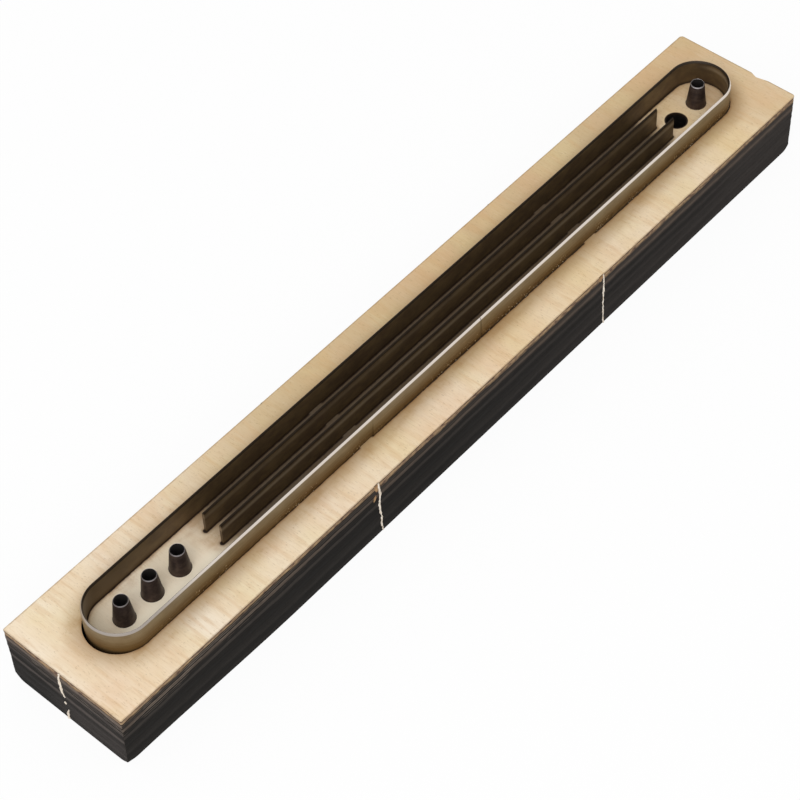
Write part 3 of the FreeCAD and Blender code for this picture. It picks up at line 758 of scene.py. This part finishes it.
def eroded_wall(points, heights):
    """Outer wall of the board. Each point goes inwards by the erosion times a share from 0 to 1: more in every
    second ply, and more or less along the wall as two random fields say. Then the near side's foot moves in at
    the left end, and each worn corner's foot is lifted by a bell curve of the distance from the corner."""
    normals, along = outline_normals(points)
    s, z = along[:, None], heights[None, :]
    ply = z / (TOP / PLIES) + 0.12 * wavy(s, z, 1, (40, 30))
    soft = np.clip(0.5 + 1.6 * np.sin(np.pi * ply), 0, 1)
    depth = EROSION * np.clip(0.35 + 0.15 * soft + 0.25 * wavy(s, z, 2, (6, 2.5)), 0, 1)
    depth[:, [0, -1]] = 0.0
    x = points[:, 0, None] - depth * normals[:, 0, None]
    y = points[:, 1, None] - depth * normals[:, 1, None]
    z = np.broadcast_to(z, x.shape)
    share_down = 1 - z / TOP
    from_left = 1 - (x - PANEL_LOW[0]) / UNDERCUT_RUN
    from_near = 1 - (y - PANEL_LOW[1]) / UNDERCUT_FADE
    y = y + UNDERCUT * share_down * smooth(from_left) * np.clip(from_near, 0, 1)
    for corner, height, reach in WORN_CORNERS:
        away = np.linalg.norm(points - np.array(corner), axis=1)[:, None]
        z = z + height * np.exp(-(away / reach) ** 2) * share_down
    return np.stack([x, y, z], -1).reshape(-1, 3)


def fill(loops):
    """Triangles between a plan's outer loop and its holes, as numbers into all the loops' points together.
    A triangle stays where a ray from its middle crosses the loops an odd number of times."""
    points = np.vstack(loops)
    starts = np.cumsum([0] + [len(loop) for loop in loops])
    edges = [(a + i, a + (i + 1) % (b - a)) for a, b in zip(starts, starts[1:]) for i in range(b - a)]
    vectors = [Vector(p) for p in points]
    _, _, triangles, origins, _, _ = delaunay_2d_cdt(vectors, edges, [], 0, 1e-7)
    triangles = np.array([o[0] for o in origins])[np.array(triangles)]
    middle = points[triangles].mean(axis=1)
    crossings = np.zeros(len(middle), dtype=int)
    for loop in loops:
        a, b = loop, np.roll(loop, -1, axis=0)
        spans = (a[None, :, 1] > middle[:, 1, None]) != (b[None, :, 1] > middle[:, 1, None])
        with np.errstate(divide="ignore", invalid="ignore"):
            slope = (b[:, 0] - a[:, 0]) / (b[:, 1] - a[:, 1])
        cross_x = a[None, :, 0] + (middle[:, 1, None] - a[None, :, 1]) * slope[None, :]
        crossings += (spans & (cross_x > middle[:, 0, None])).sum(axis=1)
    return triangles[crossings % 2 == 1]


def plywood_board():
    heights = np.linspace(0, TOP, WALL_ROWS)
    outer = divided(panel_outline(), WALL_STEP)
    walls = [eroded_wall(outer, heights)]
    faces = grid_faces(len(outer), WALL_ROWS, closed_columns=True)
    face_materials = [1] * len(faces)
    low_numbers = [np.arange(len(outer)) * WALL_ROWS]
    high_numbers = [low_numbers[0] + WALL_ROWS - 1]
    loops = [outer]
    start = len(walls[0])
    for slot in slots:
        loop = divided(slot, 4.0)[::-1]
        wall = np.repeat(loop, 2, axis=0)
        walls.append(np.column_stack([wall, np.tile([0, TOP], len(loop))]))
        quads = grid_faces(len(loop), 2, closed_columns=True, start=start)
        faces += quads
        face_materials += [2] * len(quads)
        low_numbers.append(start + 2 * np.arange(len(loop)))
        high_numbers.append(low_numbers[-1] + 1)
        loops.append(loop)
        start += len(wall)
    triangles = fill(loops)
    low_numbers, high_numbers = np.concatenate(low_numbers), np.concatenate(high_numbers)
    faces += high_numbers[triangles].tolist() + low_numbers[triangles][:, ::-1].tolist()
    face_materials += [0] * (2 * len(triangles))
    materials = [veneer, ply_edge, slot_wall]
    return make_piece("plywood_board", np.vstack(walls), faces, materials, face_materials)


board = plywood_board()
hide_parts("die_board")
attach(board, "root")
print("board:", len(board.data.polygons), "faces")

# %% [markdown]
# ## Bent rule
#
# The rule is a strip whose section never changes: two flat sides, a shoulder, and a bevel on each side that ends
# in a hair of flat. That section is carried along the strap's outline. Where a bridge of wood crosses under the
# rule, its foot is notched to clear the wood, so the foot's height changes along the path. A bent rule never
# stands quite upright: above the board its left half leans outwards on the near side, and its bends spring.

# %% Carry the rule's section along a path
NOTCH_TOP = TOP + NOTCH_CLEARANCE
NOTCH_SLOPE = 0.02
SHOULDER_ROUND = 0.05
NEAR_LEAN, LEFT_SPRING, FAR_LEAN = 0.3, 0.25, 0.3


def side_vectors(points):
    """Unit vectors to the right of an open path in plan."""
    ahead = np.diff(points, axis=0)
    lengths = np.linalg.norm(ahead, axis=1)
    tangents = ahead / lengths[:, None]
    tangent = np.vstack([tangents[:1], tangents[:-1] + tangents[1:], tangents[-1:]])
    tangent /= np.linalg.norm(tangent, axis=1)[:, None]
    return np.column_stack([tangent[:, 1], -tangent[:, 0]])


def with_notches(points):
    """The path with points added at the sides of each notch, and the foot's height at every point."""
    half = BRIDGE / 2 + NOTCH_CLEARANCE
    breaks = [b + s * d for b in (LEFT_BRIDGE, RIGHT_BRIDGE) for s in (-1, 1) for d in (half, half - NOTCH_SLOPE)]
    result = [points[0]]
    for a, b in zip(points, points[1:]):
        inside = [x for x in breaks if min(a[0], b[0]) < x < max(a[0], b[0]) and abs(a[1] - b[1]) < 1e-6]
        inside.sort(reverse=a[0] > b[0])
        result += [np.array((x, a[1])) for x in inside] + [b]
    path = np.array(result)
    to_bridge = np.minimum(np.abs(path[:, 0] - LEFT_BRIDGE), np.abs(path[:, 0] - RIGHT_BRIDGE))
    return path, np.where(to_bridge < half - NOTCH_SLOPE / 2, NOTCH_TOP, 0.0)


def leaning(points):
    """The rule's points, moved above the board by a share that grows with height: the near straight leans outwards
    from the joint to the left bend, the left bend springs inwards and the right bend's far side leans outwards."""
    x, y, z = points.T
    rise = np.clip((z - TOP) / (CUTTING_EDGE - TOP), 0, 1)
    near = np.clip((STRAP_MIDDLE - y) / BEND, 0, 1) * smooth((40 - x) / 100)
    far = np.clip((y - STRAP_MIDDLE) / BEND, 0, 1) * smooth((x - LAST_BEND + 15) / 20)
    left = np.clip((FIRST_BEND - x) / BEND, 0, 1)
    return np.column_stack([x + LEFT_SPRING * left * rise, y + (FAR_LEAN * far - NEAR_LEAN * near) * rise, z])


def rule_piece(name, points, is_bent=False):
    """Steel rule along an open path. Across the path the section goes foot, side, shoulder, bevel, edge and back
    down; up the rule it goes from the foot to the cutting edge."""
    path, foot = with_notches(points)
    side = side_vectors(path)
    half, flat = RULE / 2, EDGE_FLAT / 2
    shoulder = CUTTING_EDGE - BEVEL
    rounded = half - SHOULDER_ROUND / 2
    across = np.array([-half, half, half, rounded, flat, -flat, -rounded, -half])
    up = np.array([0, 0, shoulder - SHOULDER_ROUND, shoulder + SHOULDER_ROUND, CUTTING_EDGE, CUTTING_EDGE,
                   shoulder + SHOULDER_ROUND, shoulder - SHOULDER_ROUND])
    height = np.where(up[None, :] > 0, up[None, :], foot[:, None])
    plan = path[:, None, :] + across[None, :, None] * side[:, None, :]
    points = np.concatenate([plan, height[:, :, None]], -1).reshape(-1, 3)
    points = leaning(points) if is_bent else points
    rows = len(across)
    faces = grid_faces(len(path), rows, closed_rows=True)
    last = (len(path) - 1) * rows
    faces += [list(range(rows))[::-1], list(range(last, last + rows))]
    piece = make_piece(name, points, faces, [steel], sharp_degrees=22)
    side_of_rule = np.tile(across / half, len(path)) if is_bent else np.full(len(points), -1.0)
    attribute = piece.data.attributes.new("side_of_rule", "FLOAT", "POINT")
    attribute.data.foreach_set("value", side_of_rule.astype(np.float32))
    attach(piece, "root")
    return piece


def strap_outline():
    """From the butt joint to the right, round the right bend, back along the far side, round the left bend."""
    near_right = (JOINT + JOINT_GAP / 2, STRAP_NEAR)
    near_left = (JOINT - JOINT_GAP / 2, STRAP_NEAR)
    right = arc((LAST_BEND, STRAP_MIDDLE), BEND, -np.pi / 2, np.pi / 2)
    left = arc((FIRST_BEND, STRAP_MIDDLE), BEND, np.pi / 2, 3 * np.pi / 2)
    return np.vstack([near_right, right, left, near_left])


outline_rule = rule_piece("bent_outline_rule", strap_outline(), is_bent=True)
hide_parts("outline_rule")
print("outline rule:", len(outline_rule.data.polygons), "faces")

# %% [markdown]
# ## Slitting rules
#
# The two slits are the same rule, cut to length and left straight.

# %% Make the slitting rules
for name, side in (("slitting_rule_near", -1), ("slitting_rule_far", 1)):
    y = STRAP_MIDDLE + side * SLIT_OFFSET
    ends = np.array([(slit_low[0], y), (slit_high[0], y)])
    piece = rule_piece("straight_" + name, ends)
    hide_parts(name)
    print(piece.name, "%.1f mm long" % (slit_high[0] - slit_low[0]))

# %% [markdown]
# ## Hollow punches
#
# A punch is turned on a lathe, so it is a half section spun about its axis: slug bore, body in the board, tapered
# head, ground lip, and the throat that cuts the hole.

# %% Turn the punches
TURNS = 72


def turned(name, centre):
    """The half section's points (radius, height) go round the axis in equal steps."""
    lip_low = CUTTING_EDGE - LIP_HEIGHT
    body = punches[name][1][0] - centre[0]
    throat_low = CUTTING_EDGE - THROAT
    section = np.array([
        (SLUG_RADIUS, 0), (body, 0), (body, TOP - 0.02), (body - 0.04, TOP + 0.1),
        (LIP_RADIUS + 0.03, lip_low - 0.06), (LIP_RADIUS - 0.01, lip_low + 0.02),
        (HOLE_RADIUS + 0.03, CUTTING_EDGE), (HOLE_RADIUS, CUTTING_EDGE - 0.03),
        (HOLE_RADIUS, throat_low), (SLUG_RADIUS, throat_low - SLUG_TAPER),
    ])
    angle = np.linspace(0, 2 * np.pi, TURNS, endpoint=False)[:, None]
    x = centre[0] + section[:, 0] * np.cos(angle)
    y = centre[1] + section[:, 0] * np.sin(angle)
    points = np.stack([x, y, np.broadcast_to(section[:, 1], x.shape)], -1).reshape(-1, 3)
    faces = grid_faces(TURNS, len(section), closed_columns=True, closed_rows=True)
    inside = [row >= 7 for row in range(len(section))] * TURNS
    return make_piece("turned_" + name, points, faces, [blackened, bore], inside, sharp_degrees=25)


for name, centre in zip(punches, punch_centres):
    punch = turned(name, centre)
    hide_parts(name)
    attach(punch, "root")
    print(punch.name, "at x %.2f mm" % centre[0])

# %% [markdown]
# ## Snapped tabs
#
# The tabs tore along the grain, so their stubs wander: each one is a rough strip that follows a path up the side.
# The left end's tab broke in three pieces, and the face veneer lifted beside the two near tabs.

# %% Make the tab stubs
STUB_ROOT = 0.15


def stub(path, seed, proud=0.22):
    """Rough strip up the board's side through points (place along the side, height, width), with a rounded section
    that stands proud by a random share."""
    places, heights, widths = np.array(path, dtype=float)[::-1].T
    reach = np.linspace(heights[0], heights[-1], max(6, int((heights[-1] - heights[0]) / 0.35)))
    zero = np.zeros_like(reach)
    ends = np.clip(np.minimum(reach - reach[0], reach[-1] - reach) / 0.5, 0.25, 1)
    if reach[0] < 0.1:
        ends = np.where(reach < TOP / 2, 1.0, ends)
    if reach[-1] > TOP - 0.1:
        ends = np.where(reach > TOP / 2, 1.0, ends)
    swell = np.clip(1 + 0.3 * wavy(zero, reach, seed, (5, 1.6)), 0.5, 1.5)
    half = np.interp(reach, heights, widths) / 2 * swell * ends
    along = np.interp(reach, heights, places) + 0.05 * wavy(zero, reach, seed + 1, (5, 1.0))
    height = proud * np.clip(0.8 + 0.25 * wavy(zero, reach, seed + 2, (5, 1.3)), 0.35, 1.25) * ends
    shape = np.array([(-1, -1), (-0.9, 0.35), (-0.3, 0.95), (0.35, 1.0), (0.85, 0.4), (1, -1)])
    place = along[:, None] + half[:, None] * shape[:, 0]
    out = np.where(shape[:, 1] < 0, -STUB_ROOT, height[:, None] * shape[:, 1])
    return place, out, np.broadcast_to(reach[:, None], place.shape)


def stub_parts():
    """Each part: the side it is on, its strip, and 1 for lifted veneer or 0 for torn fibre."""
    left_tab, right_tab = -38.05, 40.35
    near_1 = [(-0.4, TOP, 0.55), (0.0, 13.3, 0.5), (-0.4, 9.6, 0.5), (-0.35, 8, 0.4), (0.1, 4.4, 0.45),
              (-0.2, 3.4, 0.4), (0.2, 0, 0.4)]
    near_2 = [(-0.35, TOP, 0.4), (0.0, 13.5, 0.42), (-0.1, 10.5, 0.42), (-0.1, 7.5, 0.2), (0.1, 3.5, 0.25),
              (0.3, 0, 0.3)]
    parts = [
        ("near", stub([(left_tab + s, z, w) for s, z, w in near_1], 31), 0),
        ("near", stub([(right_tab + s, z, w) for s, z, w in near_2], 41), 0),
        ("near", stub([(-39.4, 14.0, 0.7), (-39.7, 13.0, 1.2), (-40.0, 12.2, 0.7)], 61, proud=0.06), 1),
        ("near", stub([(-39.1, TOP, 1.5), (-38.9, 14.9, 0.7)], 63, proud=0.03), 1),
        ("near", stub([(39.3, TOP, 1.4), (39.2, 15.6, 0.9)], 65, proud=0.03), 1),
        ("far", stub([(left_tab, TOP, 0.45), (left_tab, 0, 0.45)], 35), 0),
        ("far", stub([(right_tab, TOP, 0.45), (right_tab, 0, 0.45)], 45), 0),
        ("end", stub([(0.65, TOP, 0.5), (0.75, 16.4, 0.5), (1.1, 15.2, 0.45), (1.2, 13.3, 0.7), (1.13, 12, 0.9),
                      (1.2, 10, 0.7), (0.7, 8.2, 0.2)], 51), 0),
        ("end", stub([(0.95, 6.5, 0.5), (0.9, 5.4, 0.6)], 54), 0),
        ("end", stub([(0.43, 3.7, 0.3), (1.0, 1.9, 0.6), (1.0, 0, 0.7)], 57), 0),
    ]
    return parts


def snapped_tabs():
    points, faces, face_materials, start = [], [], [], 0
    for side, (place, out, height), kind in stub_parts():
        if side == "near":
            x, y = place, PANEL_LOW[1] - out
        elif side == "far":
            x, y = place, PANEL_HIGH[1] + out
        else:
            x, y = PANEL_LOW[0] - out, place
        columns, rows = place.shape
        points.append(np.stack([x, y, height], -1).reshape(-1, 3))
        quads = grid_faces(columns, rows, closed_rows=True, start=start)
        last = start + (columns - 1) * rows
        quads += [list(range(start, start + rows))[::-1], list(range(last, last + rows))]
        faces += [quad[::-1] for quad in quads] if side == "near" else quads
        face_materials += [kind] * len(quads)
        start += columns * rows
    return make_piece("snapped_tabs", np.vstack(points), faces, [torn, lifted], face_materials, sharp_degrees=50)


tabs = snapped_tabs()
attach(tabs, "root")
print("tab stubs:", len(tabs.data.polygons), "faces")

# %% [markdown]
# ## Camera
#
# The camera was found from the photo's straight edges: a long lens, held above the board's near left corner and
# turned a little. Its three axes are written as vectors and squared up, so that nothing is sheared.

# %% Place the camera


def place_camera():
    data = bpy.data.cameras.new("camera")
    data.lens, data.sensor_width = 107.0037, 36.0
    data.clip_start = 0.01
    camera = bpy.data.objects.new("camera", data)
    back = -Vector((0.4599, 0.4371, -0.7729)).normalized()
    right = Vector((0.5977, 0.4913, 0.6335)).cross(back).normalized()
    up = back.cross(right)
    turn = Matrix((right, up, back)).transposed().to_4x4()
    camera.matrix_world = Matrix.Translation((-0.25965, -0.2355, 0.4235)) @ turn
    bpy.context.scene.collection.objects.link(camera)
    bpy.context.scene.camera = camera
    return camera


camera = place_camera()
print("camera at", [round(v, 4) for v in camera.location])

# %% [markdown]
# ## Floor, sky and lamp
#
# The floor and the sky are white to the camera and to everything that mirrors them, but light the object more
# softly. One broad lamp at the near left gives the direction of the shadows.

# %% Light the scene
SKY_LEVEL = 0.77
LAMP_WATTS = 11.5
FLOOR_GLOW = 0.93


def seen_directly(tree):
    """1 for what the camera sees, also in a mirror or through glass."""
    path = add(tree, "LightPath")
    rays = work(tree, "ADD", path.outputs["Is Camera Ray"], path.outputs["Is Glossy Ray"])
    return work(tree, "ADD", rays, path.outputs["Is Transmission Ray"], clamp=True)


def white_sky():
    world = bpy.data.worlds.new("white_sky")
    world.use_nodes = True
    tree = world.node_tree
    tree.nodes.clear()
    level = add(tree, "MapRange", {"Value": seen_directly(tree), "To Min": SKY_LEVEL, "To Max": 1.0})
    light = add(tree, "Background", {"Color": (1, 1, 1, 1), "Strength": level.outputs["Result"]})
    add(tree, "OutputWorld", {"Surface": light.outputs["Background"]})
    bpy.context.scene.world = world


def pale_floor():
    material = bpy.data.materials.new("pale_floor")
    material.use_nodes = True
    tree = material.node_tree
    tree.nodes.clear()
    glow = add(tree, "Emission", {"Color": (1, 1, 1, 1), "Strength": 1.0})
    matt = add(tree, "BsdfDiffuse", {"Color": (0.85, 0.85, 0.85, 1)})
    factor = work(tree, "MULTIPLY", seen_directly(tree), FLOOR_GLOW)
    mix = add(tree, "MixShader", {0: factor, 1: matt.outputs["BSDF"], 2: glow.outputs["Emission"]})
    add(tree, "OutputMaterial", {"Surface": mix.outputs["Shader"]})
    mesh = bpy.data.meshes.new("floor")
    reach = 4.0
    mesh.from_pydata([(-reach, -reach, 0), (reach, -reach, 0), (reach, reach, 0), (-reach, reach, 0)], [],
                     [(0, 1, 2, 3)])
    mesh.materials.append(material)
    floor = bpy.data.objects.new("floor", mesh)
    bpy.context.scene.collection.objects.link(floor)


def broad_lamp():
    lamp = bpy.data.lights.new("broad_lamp", "AREA")
    lamp.size, lamp.energy = 1.1, LAMP_WATTS
    carrier = bpy.data.objects.new("broad_lamp", lamp)
    place = Vector((-1.0, -0.55, 1.0))
    carrier.matrix_world = Matrix.Translation(place) @ place.to_track_quat("Z", "Y").to_matrix().to_4x4()
    bpy.context.scene.collection.objects.link(carrier)


white_sky()
pale_floor()
broad_lamp()
bpy.context.scene.view_settings.view_transform = "Standard"
